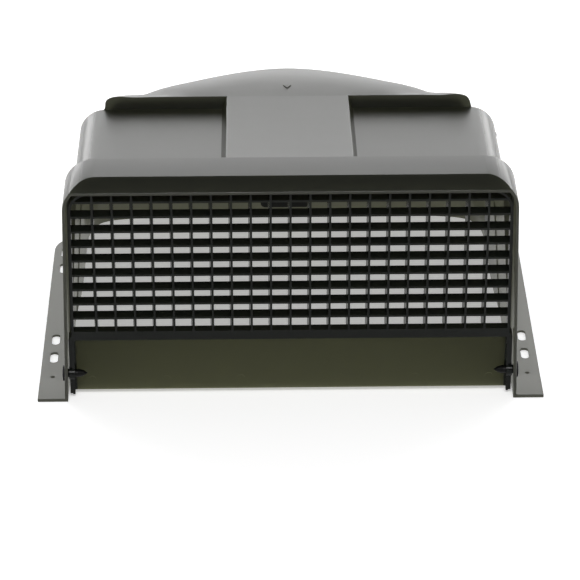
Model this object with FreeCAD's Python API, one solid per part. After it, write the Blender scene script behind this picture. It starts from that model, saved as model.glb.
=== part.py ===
import FreeCAD, Part
import math
import os
from FreeCAD import Vector

# Rain hood that stands over a square roof vent on a caravan or motor home.
# Millimetres, +Z up.  The origin is at the middle of the footprint, on the
# roof.  The mouth, with its louvre screen, faces -Y; the dome faces +Y.

# --- driving dimensions -------------------------------------------------

# whole hood
hood_length = 459.0        # from the overhanging lip to the foot of the dome
hood_height = 246.0        # to the top of the rim band
wall = 3.0                 # moulded wall
foot_half = 215.0          # half the width of rim and rear box at the roof

# mouth and rim band
mouth_lean = 9.9           # degrees that the mouth overhangs to the rear
rim_draft = 0.0263         # side slope, mm in per mm up
rim_corner = 30.0
rim_depth = 58.4           # from the mouth plane to the band's front, along Y
visor_drop = 10.6          # from the top to the rear edge of the visor
visor_depth = 14.0         # length of the sloped visor face along Y
visor_wall = 2.2
rim_edge = 1.0             # rounding of the band's and the visor's outer edges
bury = 5.0                 # how far one solid runs into the next before they fuse

# rear box, with a pocket each side of a raised middle
box_draft = 0.0628
box_corner = 25.0
pocket_depth = 13.0        # pocket floor below the raised middle
plateau_half = 59.0        # half-width at the top
plateau_draft = 0.37       # its sides spread by this much per mm down
plateau_edge = 1.2
roof_slope = 0.0705        # the roof rises to the rear, mm per mm
brow_from_foot = 190.4     # brow wall, forward of the mouth's foot

# dome: level contours that are square at the roof and pointed at the top
dome_side_inset = 4.0      # from the box's foot to the dome's
dome_side_drop = 31.6      # how far the sides lean in at the box's roof
dome_side_power = 1.9
dome_profile = 2.5         # exponent of the side profile
brow_corner = 6.0          # rounding at the ends of the brow
brow_edge = 2.5            # rounding along the top of the brow
dome_square = 12.0         # exponent of the contour at the foot
dome_point_x = 1.75        # exponents of the contour at the top
dome_point_y = 1.0
dome_blend = 2.5           # how soon the contour turns from square to pointed
dome_toe = 34.0            # height of the upright front edge
dome_sections = 14
section_points = 61
corner_weight = 40.0       # mm of run that a turn of one radian counts for
dome_step = 0.6            # from the box's skin to the dome's, where they meet
dome_fair = 90.0           # run over which the dome takes its own side shape

# side wings that take the mounting brackets
wing_width = 26.0          # past the foot of the rim
wing_front_gap = 47.5      # from the wing's front end to the dome's front
wing_corner = 37.0
wing_thickness = 2.4
wing_end_thickness = 3.2   # thicker pad at the rear end
wing_end_length = 23.9
wing_ramp_length = 16.5
slot_width = 7.8
slot_length = 22.0
slot_inset = 11.3          # from the wing's outer edge
slot_pitch = 38.5
rear_slots_y = 107.65      # middle of the rear slot pair, from the mouth's foot
front_slots_gap = 61.75    # middle of the front slot pair, from the wing's front end
pilot_radius = 2.2
pilot_inset = 12.0         # from the wing's outer edge
pilot_y = 46.7

# louvre screen, measured square to the leaning mouth
screen_recess = 8.0
frame_depth = 13.5
frame_band = 2.2
frame_gap_foot = 3.0       # from the flange to the hood's wall, at the foot
frame_gap_side = 0.35      # the same at the top
frame_gap_top = 7.4        # from the flange to the roof of the rim
frame_corner = 20.0
flange_width = 1.6
flange_depth = 2.0
slat_drop = 9.3            # from the frame's top to the first slat
slat_spacing = 16.4
slat_thickness = 2.2
slat_depth = 11.0
bar_depth = 8.4            # bar along the top of the panel
bar_height = 10.2
fin_pitch = 18.24
fin_side_gap = 20.0        # least space between the last fin and the frame
fin_edge = 2.0             # rear edge thickness
fin_flank = 1.6            # extra thickness of the inner edge, on one side
panel_top = 66.5
panel_foot = 3.2
panel_recess = 7.0
panel_thickness = 2.2
leg_foot = 2.8
ear_top = 71.0
ear_slope = 5.0
ear_thickness = 3.2
ear_web = 2.4              # plate that joins the ear to the leg
ear_inset = 1.5            # from the frame's rear edge to the ear's
ear_gap = 0.6              # to the hood's wall, when shut and as the screen swings
knuckle_wall = 2.2         # boss round the clip's hole
knuckle_gap = 1.1          # from the boss to the hood's wall
mark_radius = 3.75         # ejector marks on the panel
mark_height = 0.2
mark_side_gap = 18.4       # from the frame's foot to the outermost mark
mark_pitch = 70.85
mark_drop = 3.0            # upper row, below the panel's top
mark_rise = 12.2           # lower row, above the panel's foot

# push clips, which are also the pins that the screen turns on
clip_height = 27.8
clip_recess = 10.6         # clip axis, square to the mouth plane
clip_head_radius = 7.5
clip_head_thickness = 2.0
clip_head_dome = 0.9
clip_hole_radius = 4.2
clip_fit = 0.08            # from ring to hole
clip_rib = 0.52            # height of the rings above the core
clip_length = 22.0
clip_tip_length = 9.0
clip_tip_shoulder = (0.72, 0.6)   # shares of the core's radius and of the tip's length
clip_head_edge = (0.6, 0.9)        # shares of the head's radius and thickness
clip_ring_pitch = 3.0
clip_ring_length = 1.2
clip_collar_length = 5.5   # plain bearing length under the head
clip_ring_start = 0.6      # from the collar to the first ring
clip_head_gap = 0.6        # from wall to head, at the clip's axis

# soft pad low inside the front wall
pad_width = 52.5
pad_height = 17.0
pad_corner = 5.0
pad_foot = 13.0
pad_thickness = 2.5

# small moulded arrow on the dome
arrow_size = 7.5
arrow_height = 0.5
arrow_from_brow = 23.0
arrow_root = 3.0           # depth below the dome's top edge

lean_angle = math.radians(mouth_lean)
lean = math.tan(lean_angle)
lip_height = hood_height - visor_drop
foot_y = -hood_length / 2 + lean * lip_height
brow_y = foot_y + brow_from_foot
front_y = hood_length / 2
rim_front_y = foot_y + rim_depth - lean * hood_height    # band's front edge on top
brow_height = hood_height - roof_slope * (brow_y - rim_front_y)
dome_half = foot_half - dome_side_inset
wing_half = foot_half + wing_width
wing_length = front_y - wing_front_gap - foot_y
front_slots_y = wing_length - front_slots_gap
frame_top = (hood_height - wall - frame_gap_top
             - (screen_recess + frame_depth) * math.sin(lean_angle)
             ) / math.cos(lean_angle) - flange_width
first_slat_top = frame_top - slat_drop
slat_count = round((first_slat_top - panel_top - bar_height) / slat_spacing)
slat_pitch = (first_slat_top - panel_top - bar_height) / slat_count
clip_ring_radius = clip_hole_radius - clip_fit
clip_core_radius = clip_ring_radius - clip_rib
reach = hood_length                   # longer than any cutting block needs


# --- helpers ------------------------------------------------------------

def flat_xz(y):
    """Placing rule for an outline drawn in X and Z at a given y."""
    return lambda a, b: Vector(a, y, b)


def flat_xy(z):
    """Placing rule for an outline drawn in X and Y at a given z."""
    return lambda a, b: Vector(a, b, z)


def flat_yz(x):
    """Placing rule for an outline drawn in Y and Z at a given x."""
    return lambda a, b: Vector(x, a, b)


def outline(corners, place):
    """Closed wire through corners (a, b, radius), each corner rounded."""
    ends = []
    for i, (a, b, radius) in enumerate(corners):
        before, after = corners[i - 1], corners[(i + 1) % len(corners)]
        here = Vector(a, b, 0)
        back = (Vector(before[0], before[1], 0) - here).normalize()
        ahead = (Vector(after[0], after[1], 0) - here).normalize()
        if radius == 0:
            ends.append((here, None, here))
            continue
        half = back.getAngle(ahead) / 2
        run = radius / math.tan(half)
        middle = (back + ahead).normalize()
        ends.append((here + back * run,
                     here + middle * (radius / math.sin(half) - radius),
                     here + ahead * run))
    edges = []
    for i, (start, mid, end) in enumerate(ends):
        following = ends[(i + 1) % len(ends)][0]
        if mid is not None:
            edges.append(Part.Arc(place(start.x, start.y), place(mid.x, mid.y),
                                  place(end.x, end.y)).toShape())
        if end.distanceToPoint(following) > 1e-6:
            edges.append(Part.LineSegment(place(end.x, end.y),
                                          place(following.x, following.y)).toShape())
    return Part.Wire(edges)


def prism(corners, place, along):
    """Solid of an outline pushed along a vector."""
    return Part.Face(outline(corners, place)).extrude(along)


def block(low, high):
    """Box between two corners."""
    size = [h - l for l, h in zip(low, high)]
    return Part.makeBox(*size, Vector(*low))


def gate(half_foot, draft, top, corner):
    """Corners of an upright outline: drafted sides, rounded top corners."""
    half_top = half_foot - draft * top
    return [(-half_foot, 0, 0), (half_foot, 0, 0),
            (half_top, top, corner), (-half_top, top, corner)]


def both_sides(shape):
    """A shape made for +X, with its mirror image."""
    return shape.fuse(shape.mirror(Vector(0, 0, 0), Vector(1, 0, 0)))


def behind_plane(y_at_floor, slope, z_at_floor=0.0):
    """Block rearward of a plane that runs along X and climbs in Z."""
    low, high = -reach, 2 * reach
    corners = [(y_at_floor + slope * (low - z_at_floor), low, 0),
               (y_at_floor + slope * (high - z_at_floor), high, 0),
               (-4 * reach, high, 0), (-4 * reach, low, 0)]
    return prism(corners, flat_yz(-reach), Vector(2 * reach, 0, 0))


# --- hood shell ---------------------------------------------------------

def roof(y):
    """Height of the raised middle of the roof."""
    return hood_height - roof_slope * (y - rim_front_y)


def rim(inset):
    """Band round the mouth, cut by the mouth plane and the visor face."""
    start, front = -hood_length / 2 - bury, foot_y + rim_depth - inset
    band = prism(gate(foot_half - inset, rim_draft, hood_height - inset,
                      rim_corner - inset),
                 flat_xz(start), Vector(0, front - start, 0))
    band = band.common(behind_plane(front, -lean))
    if inset:
        return band.cut(visor_cutter(visor_wall))
    band = band.cut(behind_plane(foot_y, -lean)).cut(visor_cutter(0))
    above_floor = [edge for edge in band.Edges if edge.BoundBox.ZMax > bury]
    across = [edge for edge in above_floor if edge.BoundBox.YLength < rim_depth / 2
              or edge.BoundBox.XLength > foot_half]
    return band.makeFillet(rim_edge, across)


def visor_cutter(inset):
    """Block above and behind the sloped visor face, moved in by the visor's wall."""
    rise = hood_height - lip_height
    face = math.hypot(visor_depth, rise)
    low_y = -hood_length / 2 + inset * rise / face
    low_z = lip_height - inset * visor_depth / face
    cutter = behind_plane(low_y, visor_depth / rise, low_z)
    return cutter.cut(block((-reach, -4 * reach, -reach),
                            (reach, 2 * reach, lip_height - 2 * visor_depth)))


def rear_box(inset):
    """Tapered box between rim and brow, its roof sloping up to the rear."""
    y_rear = foot_y - 2 * bury
    y_front = brow_y - inset
    wires = [outline(gate(foot_half - inset, box_draft,
                          roof(y) - pocket_depth - inset, box_corner - inset),
                     flat_xz(y))
             for y in (y_rear, y_front)]
    box = Part.makeLoft(wires, True, True)
    return box if inset else box.cut(behind_plane(foot_y, -lean))


def plateau(inset):
    """Raised middle of the roof, from the rim to the brow, with sloping sides."""
    low = roof(brow_y) - 3 * pocket_depth
    y_rear = rim_front_y - wall - inset
    y_front = brow_y + (inset + bury if inset else brow_edge + bury)
    wires = []
    for y in (y_rear, y_front):
        top = min(roof(y), hood_height) - inset
        half_top = plateau_half - inset
        half_low = half_top + plateau_draft * (top - low)
        edge = 0 if inset else plateau_edge
        wires.append(outline([(-half_low, low, 0), (half_low, low, 0),
                              (half_top, top, edge), (-half_top, top, edge)], flat_xz(y)))
    return Part.makeLoft(wires, True, True)


def box_side(height, inset):
    """Half-width of the rear box at the brow, at a height below its roof."""
    top = roof(brow_y) - pocket_depth - inset
    corner = box_corner - inset
    into = height - (top - corner)
    if into <= 0:
        return foot_half - inset - box_draft * height
    if into >= corner:
        return 0.0
    return foot_half - inset - box_draft * top - corner + math.sqrt(corner ** 2 - into ** 2)


def dome_contour(run, height, inset):
    """Half-width of the dome at a distance forward of the brow and a height."""
    full = brow_height - inset
    share = min(height / full, 1.0)
    ahead = (front_y - brow_y - inset) * (1 - share ** dome_profile) ** (1 / dome_profile)
    side = (dome_half - inset
            - dome_side_drop * (height / (brow_height - pocket_depth)) ** dome_side_power)
    above = max(height - (full - brow_corner), 0.0)
    side -= brow_corner - math.sqrt(max(brow_corner ** 2 - above ** 2, 0.0))
    fair = max(1 - run / dome_fair, 0.0) ** 2
    side += fair * max(box_side(height, inset) - dome_step - side, 0.0)
    if run >= ahead:
        return 0.0
    blend = (1 - share) ** dome_blend
    power_x = dome_point_x + (dome_square - dome_point_x) * blend
    power_y = dome_point_y + (dome_square - dome_point_y) * blend
    return side * (1 - (run / ahead) ** power_y) ** (1 / power_x)


def dome_section(share, inset):
    """Wire across the dome; share 0 is the brow, 1 the upright front."""
    full = brow_height - inset
    toe_angle = math.acos((dome_toe / full) ** (dome_profile / 2))
    angle = share * toe_angle
    last = math.sin(toe_angle) ** (2 / dome_profile)
    run = inset + (math.sin(angle) ** (2 / dome_profile) / last) * (
        front_y - brow_y - 2 * inset)
    top_share = min(run / (front_y - brow_y - inset), last)
    top = full * (1 - top_share ** dome_profile) ** (1 / dome_profile)
    y = brow_y + run
    side = []
    for i in range(401):
        z = top * math.sin(math.pi / 2 * i / 400)
        side.append(Vector(dome_contour(top_share * (front_y - brow_y - inset), z, inset), y, z))
    dense = side[:-1] + [Vector(0, y, top)]
    dense += [Vector(-point.x, y, point.z) for point in reversed(side[:-1])]
    return Part.Wire([spline(even_points(dense)),
                      Part.LineSegment(dense[-1], dense[0]).toShape()])


def even_points(dense):
    """Points spread along a dense row of points, closer together where it turns."""
    travelled = [0.0]
    for i, (before, after) in enumerate(zip(dense, dense[1:])):
        turn = (before - dense[i - 1]).getAngle(after - before) if i else 0.0
        travelled.append(travelled[-1] + before.distanceToPoint(after) + corner_weight * turn)
    points, at = [], 0
    for i in range(section_points):
        want = travelled[-1] * i / (section_points - 1)
        while at < len(dense) - 2 and travelled[at + 1] < want:
            at += 1
        part = (want - travelled[at]) / (travelled[at + 1] - travelled[at])
        points.append(dense[at] + (dense[at + 1] - dense[at]) * min(part, 1.0))
    return points


def spline(points):
    """Smooth edge through points."""
    curve = Part.BSplineCurve()
    curve.interpolate(points)
    return curve.toShape()


def dome(inset):
    """Dome forward of the brow, lofted from cross-sections."""
    wires = [dome_section(i / (dome_sections - 1), inset)
             for i in range(dome_sections)]
    above_floor = block((-reach, brow_y - wall, 0), (reach, reach, reach))
    return Part.makeLoft(wires, True, False).common(above_floor)


def throat():
    """Inside passage from the rear box to the dome, under the brow wall."""
    wire = dome_section(0.0, wall)
    passage = Part.Face(wire).extrude(Vector(0, -wall - bury, 0))
    ceiling = roof(brow_y) - pocket_depth - wall
    return passage.common(block((-reach, -reach, 0), (reach, reach, ceiling)))


def wing():
    """Flange at the +X foot, thicker at its rear end, with round front corner."""
    inner = wing_half - wing_corner - bury
    end = foot_y + wing_length
    plan = [(inner, foot_y, 0), (wing_half, foot_y, 0),
            (wing_half, end, wing_corner), (inner, end, 0)]
    plate = prism(plan, flat_xy(0), Vector(0, 0, wing_end_thickness))
    pad_end = foot_y + wing_end_length
    ramp_end = pad_end + wing_ramp_length
    lower = [(pad_end, wing_end_thickness, 0), (ramp_end, wing_thickness, 0),
             (end + bury, wing_thickness, 0), (end + bury, wing_end_thickness, 0)]
    return plate.cut(prism(lower, flat_yz(inner), Vector(2 * wing_half, 0, 0)))


def wing_holes():
    """Two pairs of slots and a pilot hole, for the +X wing."""
    through = Vector(0, 0, wing_end_thickness + 2 * bury)
    holes = [Part.makeCylinder(pilot_radius, through.z,
                               Vector(wing_half - pilot_inset, foot_y + pilot_y, -bury))]
    half, straight = slot_width / 2, (slot_length - slot_width) / 2
    for pair_y in (rear_slots_y, front_slots_y):
        for side in (-0.5, 0.5):
            middle = Vector(wing_half - slot_inset, foot_y + pair_y + side * slot_pitch, -bury)
            ends = [Part.makeCylinder(half, through.z, middle + Vector(0, along, 0))
                    for along in (-straight, straight)]
            waist = Part.makeBox(slot_width, 2 * straight, through.z,
                                 middle - Vector(half, straight, 0))
            holes.append(waist.fuse(ends))
    return holes


def arrow():
    """Small raised triangle on top of the dome, pointing to the rear."""
    y = brow_y + arrow_from_brow
    plan = [(0, y - arrow_size / 2, 0), (arrow_size / 2, y + arrow_size / 2, 0),
            (-arrow_size / 2, y + arrow_size / 2, 0)]
    return prism(plan, flat_xy(brow_height - arrow_root), Vector(0, 0, arrow_root + arrow_height))


def hood_shell():
    outer = rear_box(0).fuse([rim(0), plateau(0), dome(0)]).removeSplitter()
    wings = both_sides(wing())
    inner = rear_box(wall).fuse([rim(wall), plateau(wall), throat(), dome(wall)])
    shell = outer.fuse([wings, arrow()]).cut(inner)
    for hole in wing_holes():
        shell = shell.cut(both_sides(hole))
    shell = shell.cut(both_sides(clip_hole()))
    return shell.removeSplitter()


# --- louvre screen ------------------------------------------------------
# Drawn upright, with y measured square to the mouth plane and z up along it,
# and then leaned back with the mouth.

def lean_back(shape):
    """Place a shape drawn square to the mouth."""
    placed = shape.copy()
    placed.rotate(Vector(0, 0, 0), Vector(1, 0, 0), mouth_lean)
    placed.translate(Vector(0, foot_y, 0))
    return placed


def clip_axis_upright():
    """Clip axis in the upright drawing: (y, z)."""
    rise = clip_height - clip_recess * math.sin(lean_angle)
    return clip_recess, rise / math.cos(lean_angle)


def clip_axis():
    """Clip axis in the part's frame: (y, z)."""
    y, z = clip_axis_upright()
    return (foot_y + y * math.cos(lean_angle) - z * math.sin(lean_angle), clip_height)


def hood_wall_at(z):
    """Inner half-width of the rim at an upright height."""
    return foot_half - wall - rim_draft * z * math.cos(lean_angle)


def frame_half_at(z):
    """Outer half-width of the frame, without its flange, at an upright height."""
    foot = hood_wall_at(0) - flange_width - frame_gap_foot
    top = hood_wall_at(frame_top) - flange_width - frame_gap_side
    return foot + (top - foot) * z / frame_top


def screen_frame():
    """Band round the grille, with a flange along its inner edge."""
    y0, y1 = screen_recess, screen_recess + frame_depth
    frame_half_foot = frame_half_at(0)
    frame_draft = (frame_half_foot - frame_half_at(frame_top)) / frame_top
    outside = prism(gate(frame_half_foot, frame_draft, frame_top, frame_corner),
                    flat_xz(y0), Vector(0, frame_depth, 0))
    rim_out = prism(gate(frame_half_foot + flange_width, frame_draft,
                         frame_top + flange_width, frame_corner + flange_width),
                    flat_xz(y1 - flange_depth), Vector(0, flange_depth, 0))
    inside = prism(gate(frame_half_foot - frame_band, frame_draft,
                        frame_top - slat_thickness, frame_corner - frame_band),
                   flat_xz(y0 - bury), Vector(0, frame_depth + 2 * bury, 0))
    below = block((-reach, y0 - bury, -bury), (reach, y1 + bury, leg_foot))
    return outside.fuse(rim_out).cut(inside).cut(below)


def slat(z_low, depth, thickness):
    """Bar right across the frame."""
    half = frame_half_at(z_low) - frame_band / 2
    return block((-half, screen_recess, z_low),
                 (half, screen_recess + depth, z_low + thickness))


def fin(x, z_low, z_high):
    """Upright fin whose inner edge is thicker on one side."""
    y0, y1 = screen_recess, screen_recess + frame_depth
    half = fin_edge / 2
    plan = [(x - half, y0, 0), (x + half, y0, 0), (x + half, y1, 0),
            (x - half - fin_flank, y1, 0)]
    return prism(plan, flat_xy(z_low), Vector(0, 0, z_high - z_low))


def ear_reach(z):
    """Widest that a point of the ear can be and still clear the hood as it swings."""
    y_axis, z_axis = clip_axis_upright()
    y_front = screen_recess + frame_depth
    swing = math.hypot(y_front - y_axis, z - z_axis)
    return hood_wall_at(max(z, z_axis + swing)) - ear_gap


def ear():
    """Spacer beside the +X leg that nearly fills the gap to the hood's wall."""
    y0 = screen_recess + ear_inset
    y1 = screen_recess + frame_depth
    low = leg_foot
    wide_foot, wide_top = ear_reach(low), ear_reach(ear_top)
    root = frame_half_at(ear_top) - frame_band / 2
    middle = ear_thickness / 2
    plan = [(wide_foot - ear_thickness, low, 0), (wide_foot, low, 0),
            (wide_top, ear_top - ear_slope, 0), (wide_top - ear_thickness, ear_top, 0)]
    plate = prism(plan, flat_xz(y0), Vector(0, y1 - y0, 0))
    web = [(root, low, 0), (wide_foot - middle, low, 0),
           (wide_top - middle, ear_top - ear_slope, 0), (root, ear_top, 0)]
    return plate.fuse(prism(web, flat_xz(y1 - ear_web), Vector(0, ear_web, 0)))


def knuckle():
    """Boss between leg and ear, round the clip's hole."""
    y, z = clip_axis_upright()
    start = frame_half_at(z) - frame_band
    end = hood_wall_at(z) - knuckle_gap
    return Part.makeCylinder(clip_hole_radius + knuckle_wall, end - start,
                             Vector(start, y, z), Vector(1, 0, 0))


def ejector_marks():
    """Faint raised discs left on the panel by the mould's ejector pins."""
    y = screen_recess + panel_recess
    marks = []
    for k in range(3):
        x = frame_half_at(0) - mark_side_gap - k * mark_pitch
        for z in (panel_foot + mark_rise, panel_top - mark_drop):
            marks.append(Part.makeCylinder(mark_radius, mark_height + panel_thickness / 2,
                                           Vector(x, y + panel_thickness / 2, z),
                                           Vector(0, -1, 0)))
    return marks


def louvre_screen():
    bars = [slat(first_slat_top - slat_thickness - k * slat_pitch, slat_depth, slat_thickness)
            for k in range(slat_count)]
    last_top = panel_top + bar_height
    bars.append(slat(panel_top, bar_depth, bar_height))
    fins = []
    fin_side_count = int((frame_half_at(frame_top) - fin_side_gap) / fin_pitch)
    for k in range(-fin_side_count, fin_side_count + 1):
        fins.append(fin(k * fin_pitch, last_top - slat_thickness, frame_top - slat_thickness / 2))
    half = frame_half_at(panel_foot) - frame_band / 2
    panel_y = screen_recess + panel_recess
    panel = block((-half, panel_y, panel_foot),
                  (half, panel_y + panel_thickness, (panel_top + last_top) / 2))
    frame_draft = (frame_half_at(0) - frame_half_at(frame_top)) / frame_top
    trim = prism(gate(frame_half_at(0) - frame_band / 2, frame_draft, frame_top, frame_corner),
                 flat_xz(0), Vector(0, 2 * frame_depth, 0))
    inside = bars + fins + [panel]
    grille = inside[0].fuse(inside[1:]).common(trim)
    marks = ejector_marks()
    sides = [both_sides(shape) for shape in [ear(), knuckle()] + marks]
    screen = screen_frame().fuse([grille] + sides)
    y, z = clip_axis_upright()
    hole = Part.makeCylinder(clip_hole_radius, 2 * reach, Vector(-reach, y, z), Vector(1, 0, 0))
    return lean_back(screen.cut(hole).removeSplitter())


# --- push clips ---------------------------------------------------------

def clip_head_x():
    """Where the underside of the +X clip's head sits."""
    return foot_half - rim_draft * clip_height + clip_head_gap


def clip_hole():
    y, z = clip_axis()
    start = clip_head_x() - clip_head_gap - wall - bury
    return Part.makeCylinder(clip_hole_radius, wall + 2 * bury, Vector(start, y, z),
                             Vector(1, 0, 0))


def push_clip(side):
    """Ribbed push clip: domed head, plain collar, rings and a pointed tip."""
    core, ring = clip_core_radius, clip_ring_radius
    edge_radius, edge_thickness = clip_head_edge
    rows = [(0.0, clip_head_thickness),
            (clip_head_radius * edge_radius, clip_head_thickness * edge_thickness),
            (clip_head_radius, clip_head_thickness - clip_head_dome), (clip_head_radius, 0.0),
            (ring, 0.0), (ring, -clip_collar_length)]
    depth = clip_collar_length + clip_ring_start
    ring_end = clip_length - clip_tip_length
    while depth + clip_ring_length < ring_end:
        rows += [(core, -depth), (ring, -depth), (core, -depth - clip_ring_length)]
        depth += clip_ring_pitch
    shoulder_radius, shoulder_length = clip_tip_shoulder
    rows += [(core, -ring_end), (ring, -ring_end),
             (core * shoulder_radius, -ring_end - clip_tip_length * shoulder_length),
             (0.0, -clip_length)]
    y, z = clip_axis()
    points = [Vector(clip_head_x() + along, y, z + radius) for radius, along in rows]
    profile = Part.Face(Part.makePolygon(points + [points[0]]))
    clip = profile.revolve(Vector(0, y, z), Vector(1, 0, 0), 360)
    if side < 0:
        clip = clip.mirror(Vector(0, 0, 0), Vector(1, 0, 0))
    return clip


# --- front pad ----------------------------------------------------------

def front_pad():
    """Oblong pad that lies on the inside of the dome's upright front wall."""
    half = pad_width / 2
    top = pad_foot + pad_height
    shape = [(-half, pad_foot, pad_corner), (half, pad_foot, pad_corner),
             (half, top, pad_corner), (-half, top, pad_corner)]
    return prism(shape, flat_xz(front_y - wall - pad_thickness), Vector(0, pad_thickness, 0))


# --- write --------------------------------------------------------------

def main():
    os.makedirs("parts", exist_ok=True)
    parts = {
        "hood_shell": hood_shell(),
        "louvre_screen": louvre_screen(),
        "push_clip_right": push_clip(1),
        "push_clip_left": push_clip(-1),
        "front_pad": front_pad(),
    }
    for name, shape in parts.items():
        box = shape.BoundBox
        print(f"{name}: {len(shape.Solids)} solid(s), valid {shape.isValid()}, "
              f"{shape.Volume / 1000:.1f} cm3, x {box.XMin:.1f}..{box.XMax:.1f}, "
              f"y {box.YMin:.1f}..{box.YMax:.1f}, z {box.ZMin:.1f}..{box.ZMax:.1f}")
        shape.exportStep(f"parts/{name}.step")


main()
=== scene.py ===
import bmesh
import bpy
import math
from mathutils import Matrix, Vector


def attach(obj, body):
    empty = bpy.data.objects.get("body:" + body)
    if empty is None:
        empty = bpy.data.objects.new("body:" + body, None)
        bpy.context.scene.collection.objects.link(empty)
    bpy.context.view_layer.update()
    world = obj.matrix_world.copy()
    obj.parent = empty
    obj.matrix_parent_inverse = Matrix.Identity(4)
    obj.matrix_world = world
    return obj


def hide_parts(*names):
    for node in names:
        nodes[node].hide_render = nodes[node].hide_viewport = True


# A smoke-tinted rain hood for a caravan roof vent.  Metres, +Z up; the louvred
# mouth faces -Y and the dome faces +Y.

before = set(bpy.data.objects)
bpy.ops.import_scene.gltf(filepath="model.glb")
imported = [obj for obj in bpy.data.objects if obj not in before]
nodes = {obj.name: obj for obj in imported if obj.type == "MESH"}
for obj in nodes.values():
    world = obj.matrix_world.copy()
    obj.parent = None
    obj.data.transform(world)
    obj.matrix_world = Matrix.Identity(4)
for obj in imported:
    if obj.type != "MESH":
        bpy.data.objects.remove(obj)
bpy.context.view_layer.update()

# --- Hood shell ---------------------------------------------------------
# One injection moulding of smoke-tinted plastic.  Upright faces are polished
# and faces that look up are satin; light that falls through the 3 mm wall
# comes out olive on the inside.

hood_skin = "#0b0d0a"
hood_glow = "#c9cab8"
hood_glow_share = 0.31
satin_roughness = 0.36
satin_from, satin_full = 0.85, 0.97    # upward part of the normal
crease_angle = math.radians(24)
joined_within = 2e-6                   # metres


def linear(hex_colour):
    """Linear RGBA of an sRGB hex colour."""
    levels = [int(hex_colour[i:i + 2], 16) / 255 for i in (1, 3, 5)]
    return tuple(v / 12.92 if v <= 0.04045 else ((v + 0.055) / 1.055) ** 2.4
                 for v in levels) + (1.0,)


def add(tree, kind, settings=None, links=None, **values):
    """Add a node: settings are its properties, links and values feed its inputs."""
    node = tree.nodes.new(kind)
    for name, value in (settings or {}).items():
        setattr(node, name, value)
    for name, value in values.items():
        node.inputs[name.replace("_", " ")].default_value = value
    for name, source in (links or {}).items():
        tree.links.new(source, node.inputs[name])
    return node


def math_node(tree, operation, *inputs):
    """Result of a math node; each input is a number or another node's output."""
    node = add(tree, "ShaderNodeMath", {"operation": operation})
    for socket, source in zip(node.inputs, inputs):
        if isinstance(source, float):
            socket.default_value = source
        else:
            tree.links.new(source, socket)
    return node.outputs[0]


def new_material(name):
    """Empty material and its output's surface socket."""
    material = bpy.data.materials.new(name)
    material.use_nodes = True
    material.node_tree.nodes.clear()
    output = material.node_tree.nodes.new("ShaderNodeOutputMaterial")
    return material, material.node_tree, output.inputs["Surface"]


def smoke_plastic(name, skin, glow, glow_share, roughness, ior, thin=None):
    """Polished dark plastic that lets olive light through, more of it where it is thin.

    thin is the half-width and top of a thin panel, and the share of light through it.
    """
    material, tree, surface = new_material(name)
    place = add(tree, "ShaderNodeTexCoord").outputs["Object"]
    # faint flow ripple of a large moulding, a few centimetres across
    ripple = add(tree, "ShaderNodeTexNoise", links={"Vector": place},
                 Scale=28.0, Detail=2.0, Roughness=0.45)
    # fine tooling texture, drawn at half a millimetre so that it shows
    grit = add(tree, "ShaderNodeTexNoise", links={"Vector": place},
               Scale=1600.0, Detail=1.0)
    sheen = add(tree, "ShaderNodeMapRange", links={"Value": ripple.outputs["Fac"]},
                To_Min=roughness * 0.8, To_Max=roughness * 1.25)
    # faces that look up are satin, upright ones are polished
    normal = add(tree, "ShaderNodeNewGeometry").outputs["Normal"]
    upward = add(tree, "ShaderNodeSeparateXYZ", links={0: normal}).outputs["Z"]
    satin = add(tree, "ShaderNodeMapRange", {"interpolation_type": "SMOOTHSTEP"},
                {"Value": upward, "To Min": sheen.outputs["Result"]},
                From_Min=satin_from, From_Max=satin_full, To_Max=satin_roughness)
    waves = add(tree, "ShaderNodeBump", links={"Height": ripple.outputs["Fac"]},
                Strength=0.25, Distance=0.0006)
    grain = add(tree, "ShaderNodeBump", links={"Height": grit.outputs["Fac"],
                                               "Normal": waves.outputs["Normal"]},
                Strength=0.15, Distance=0.00002)
    polished = add(tree, "ShaderNodeBsdfPrincipled",
                   links={"Roughness": satin.outputs["Result"],
                          "Normal": grain.outputs["Normal"]},
                   Base_Color=linear(skin), IOR=ior)
    through = add(tree, "ShaderNodeBsdfTranslucent", Color=linear(glow))
    blended = add(tree, "ShaderNodeMixShader",
                  links={1: polished.outputs[0], 2: through.outputs[0]}, Fac=glow_share)
    if thin is not None:
        half_width, top, thin_share = thin
        split = add(tree, "ShaderNodeSeparateXYZ", links={0: place})
        across = math_node(tree, "ABSOLUTE", split.outputs["X"])
        both = math_node(tree, "MULTIPLY", math_node(tree, "LESS_THAN", across, half_width),
                         math_node(tree, "LESS_THAN", split.outputs["Z"], top))
        share = add(tree, "ShaderNodeMapRange", links={"Value": both},
                    To_Min=glow_share, To_Max=thin_share)
        tree.links.new(share.outputs["Result"], blended.inputs["Fac"])
    tree.links.new(blended.outputs[0], surface)
    return material


hood_plastic = smoke_plastic("smoke_tinted_hood_plastic", hood_skin, hood_glow,
                             hood_glow_share, roughness=0.16, ior=1.43)


def dress(node, material):
    """Give a CAD node its finish."""
    piece = nodes[node]
    piece.data.materials.clear()
    piece.data.materials.append(material)


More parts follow.
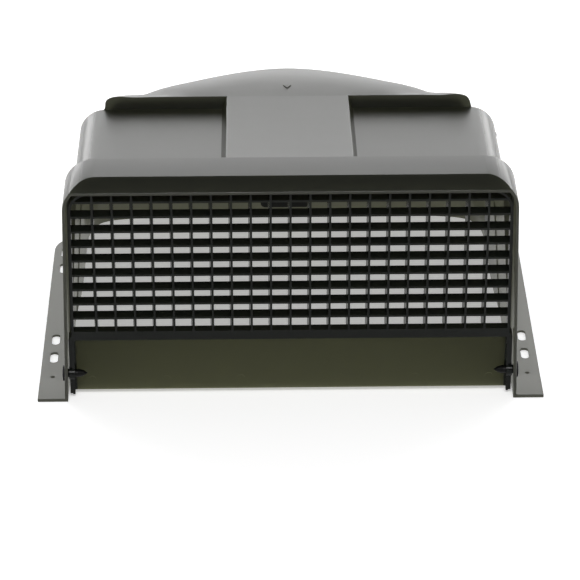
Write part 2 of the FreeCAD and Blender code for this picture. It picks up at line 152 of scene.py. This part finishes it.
def smooth_copy(node, name, body, material):
    """The CAD node's surface as one joined mesh, shaded smooth except at its creases."""
    mesh = nodes[node].data.copy()
    mesh.name = name
    cast = bpy.data.objects.new(name, mesh)
    bpy.context.scene.collection.objects.link(cast)
    shape = bmesh.new()
    shape.from_mesh(mesh)
    bmesh.ops.remove_doubles(shape, verts=shape.verts, dist=joined_within)
    bmesh.ops.dissolve_degenerate(shape, edges=shape.edges, dist=joined_within / 2)
    for face in shape.faces:
        face.smooth = True
    for edge in shape.edges:
        edge.smooth = len(edge.link_faces) == 2 and edge.calc_face_angle(0.0) < crease_angle
    shape.to_mesh(mesh)
    shape.free()
    if "custom_normal" in mesh.attributes:
        mesh.attributes.remove(mesh.attributes["custom_normal"])
    mesh.materials.clear()
    mesh.materials.append(material)
    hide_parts(node)
    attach(cast, body)


smooth_copy("hood_shell", "hood_skin", "hood", hood_plastic)

# --- Louvre screen ------------------------------------------------------
# The egg-crate grille and its lower panel, one moulding in the same smoke
# plastic.  The bars are too deep to let light through; the panel glows olive.

screen_skin = "#080b0a"
screen_glow = "#cdceb8"
bar_glow_share = 0.12
panel_glow_share = 0.76
panel_half_width = 0.2035
panel_top = 0.0655

screen_plastic = smoke_plastic("smoke_tinted_screen_plastic", screen_skin, screen_glow,
                               bar_glow_share, roughness=0.2, ior=1.25,
                               thin=(panel_half_width, panel_top, panel_glow_share))
smooth_copy("louvre_screen", "screen_skin", "screen", screen_plastic)

# --- Push clips ---------------------------------------------------------
# Black nylon, as moulded, with a dull satin skin.


def black_nylon():
    """Dull black skin with a fine grain."""
    material, tree, surface = new_material("black_nylon")
    place = add(tree, "ShaderNodeTexCoord").outputs["Object"]
    grain = add(tree, "ShaderNodeTexNoise", links={"Vector": place}, Scale=2500.0, Detail=2.0)
    bump = add(tree, "ShaderNodeBump", links={"Height": grain.outputs["Fac"]},
               Strength=0.3, Distance=0.00005)
    satin = add(tree, "ShaderNodeBsdfPrincipled", links={"Normal": bump.outputs["Normal"]},
                Base_Color=linear("#030303"), Roughness=0.45, IOR=1.53,
                Specular_IOR_Level=0.12)
    tree.links.new(satin.outputs[0], surface)
    return material


nylon = black_nylon()
for side in ("left", "right"):
    dress(f"push_clip_{side}", nylon)

# --- Front pad ----------------------------------------------------------
# A dark foam pad stuck low on the inside of the front wall.


def foam():
    """Dark closed-cell foam."""
    material, tree, surface = new_material("dark_cell_foam")
    place = add(tree, "ShaderNodeTexCoord").outputs["Object"]
    cells = add(tree, "ShaderNodeTexVoronoi", links={"Vector": place}, Scale=1200.0)
    bump = add(tree, "ShaderNodeBump", links={"Height": cells.outputs["Distance"]},
               Strength=0.5, Distance=0.0002)
    dull = add(tree, "ShaderNodeBsdfPrincipled", links={"Normal": bump.outputs["Normal"]},
               Base_Color=linear("#191a18"), Roughness=0.85)
    tree.links.new(dull.outputs[0], surface)
    return material


dress("front_pad", foam())

# --- Studio -------------------------------------------------------------
# A white table that glows, a bright backdrop beyond the object and two soft
# boxes, the stronger one above and behind the camera.

table_size = 9.0
backdrop_distance = 3.0
backdrop_height = 3.2


def panel(name, corners, colour, glow):
    """Flat sheet through four corners that glows, and that isn't there from behind."""
    mesh = bpy.data.meshes.new(name)
    mesh.from_pydata(corners, [], [(0, 1, 2, 3)])
    piece = bpy.data.objects.new(name, mesh)
    bpy.context.scene.collection.objects.link(piece)
    material, tree, surface = new_material(name)
    shader = add(tree, "ShaderNodeBsdfPrincipled", Base_Color=linear(colour), Roughness=0.9,
                 Specular_IOR_Level=0.0, Emission_Color=(1, 1, 1, 1), Emission_Strength=glow)
    behind = add(tree, "ShaderNodeNewGeometry").outputs["Backfacing"]
    clear = add(tree, "ShaderNodeBsdfTransparent")
    sheet = add(tree, "ShaderNodeMixShader",
                links={0: behind, 1: shader.outputs[0], 2: clear.outputs[0]})
    tree.links.new(sheet.outputs[0], surface)
    mesh.materials.append(material)
    return piece


half = table_size / 2
panel("table", [(-half, -half, 0), (half, -half, 0), (half, half, 0), (-half, half, 0)],
      "#f4f4f4", 0.4)
panel("backdrop", [(-half, backdrop_distance, 0), (half, backdrop_distance, 0),
                   (half, backdrop_distance, backdrop_height),
                   (-half, backdrop_distance, backdrop_height)], "#ffffff", 2.3)


def soft_box(name, place, aim, width, height, power):
    """Rectangular area light aimed at a point."""
    light = bpy.data.lights.new(name, "AREA")
    light.shape = "RECTANGLE"
    light.size, light.size_y = width, height
    light.energy = power
    lamp = bpy.data.objects.new(name, light)
    lamp.location = place
    lamp.rotation_euler = (Vector(aim) - Vector(place)).to_track_quat("-Z", "Y").to_euler()
    bpy.context.scene.collection.objects.link(lamp)
    return lamp


soft_box("back_light", (0, 2.2, 2.2), (0, 0, 0.1), 2.5, 1.2, 8)
soft_box("front_light", (0, -2.6, 2.4), (0, -0.1, 0), 1.6, 1.0, 75)

world = bpy.data.worlds.new("studio")
world.use_nodes = True
world.node_tree.nodes["Background"].inputs["Color"].default_value = (1, 1, 1, 1)
world.node_tree.nodes["Background"].inputs["Strength"].default_value = 0.25
bpy.context.scene.world = world
bpy.context.scene.view_settings.view_transform = "Standard"

# --- Camera -------------------------------------------------------------
# Long lens, 26 degrees above the roof, looking into the mouth.

camera_height = math.radians(26.0)
camera_turn = math.radians(0.7)
camera_roll = math.radians(-0.2)
camera_distance = 3.207
mouth_foot = Vector((0.0, -0.185, 0.0))
mouth_foot_drop = 0.103      # of the mouth's foot below the middle of the view

forward = Vector((math.sin(camera_turn) * math.cos(camera_height),
                  math.cos(camera_turn) * math.cos(camera_height),
                  -math.sin(camera_height)))
right = forward.cross(Vector((0, 0, 1))).normalized()
up = right.cross(forward)
lens = bpy.data.cameras.new("camera")
lens.lens = 208.7
lens.sensor_width = 36.0
lens.clip_end = 50.0
camera = bpy.data.objects.new("camera", lens)
turn = Matrix((right, up, -forward)).transposed().to_4x4()
camera.matrix_world = (Matrix.Translation(mouth_foot - forward * camera_distance
                                          + up * mouth_foot_drop - right * 0.0004)
                       @ turn @ Matrix.Rotation(camera_roll, 4, "Z"))
bpy.context.scene.collection.objects.link(camera)
bpy.context.scene.camera = camera
